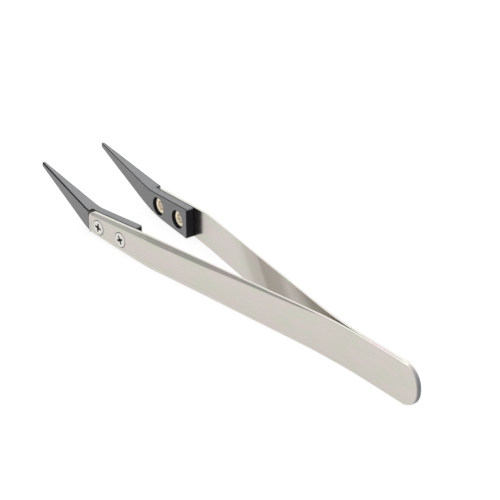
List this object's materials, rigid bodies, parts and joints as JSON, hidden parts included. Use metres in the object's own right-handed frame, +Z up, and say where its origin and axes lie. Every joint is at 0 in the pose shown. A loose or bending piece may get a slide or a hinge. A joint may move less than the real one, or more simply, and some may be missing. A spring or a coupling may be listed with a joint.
{
  "type": "precision tweezers",
  "caption": "Spring-steel tweezers with angled, screw-on replaceable black tips; flat welded arms that close when squeezed, for picking up small parts.",
  "frame": {"origin": "under the middle of the bounding box, on the surface that the lower edges of the arms stand on", "axes": "+X from the welded heel to the points, +Y towards the left arm, +Z up, the way the points are bent"},
  "size_m": [0.13, 0.0212, 0.0104],
  "materials": {
    "stainless_steel": "satin, finely ground",
    "black_tip": "satin with a fine grain",
    "screw_steel": "bright turned",
    "brass": "turned, pale"
  },
  "bodies": {
    "heel": {"left_arm_heel": "stainless_steel", "right_arm_heel": "stainless_steel"},
    "left_side": {"left_arm_blade": "stainless_steel", "left_tip": "black_tip", "left_screw_front": "screw_steel", "left_screw_rear": "screw_steel", "left_nut_front": "brass", "left_nut_rear": "brass"},
    "right_side": {"right_arm_blade": "stainless_steel", "right_tip": "black_tip", "right_screw_front": "screw_steel", "right_screw_rear": "screw_steel", "right_nut_front": "brass", "right_nut_rear": "brass"}
  },
  "joints": [
    {"name": "left_arm_flex", "type": "hinge", "parent": "heel", "child": "left_side", "pos_m": [-0.03803, 0.00063, 0], "axis": [0, 0, -1], "range_deg": [0, 4.62], "stiffness_Nm_per_rad": 0.55},
    {"name": "right_arm_flex", "type": "hinge", "parent": "heel", "child": "right_side", "pos_m": [-0.03803, -0.00063, 0], "axis": [0, 0, 1], "range_deg": [0, 4.62], "stiffness_Nm_per_rad": 0.55}
  ]
}
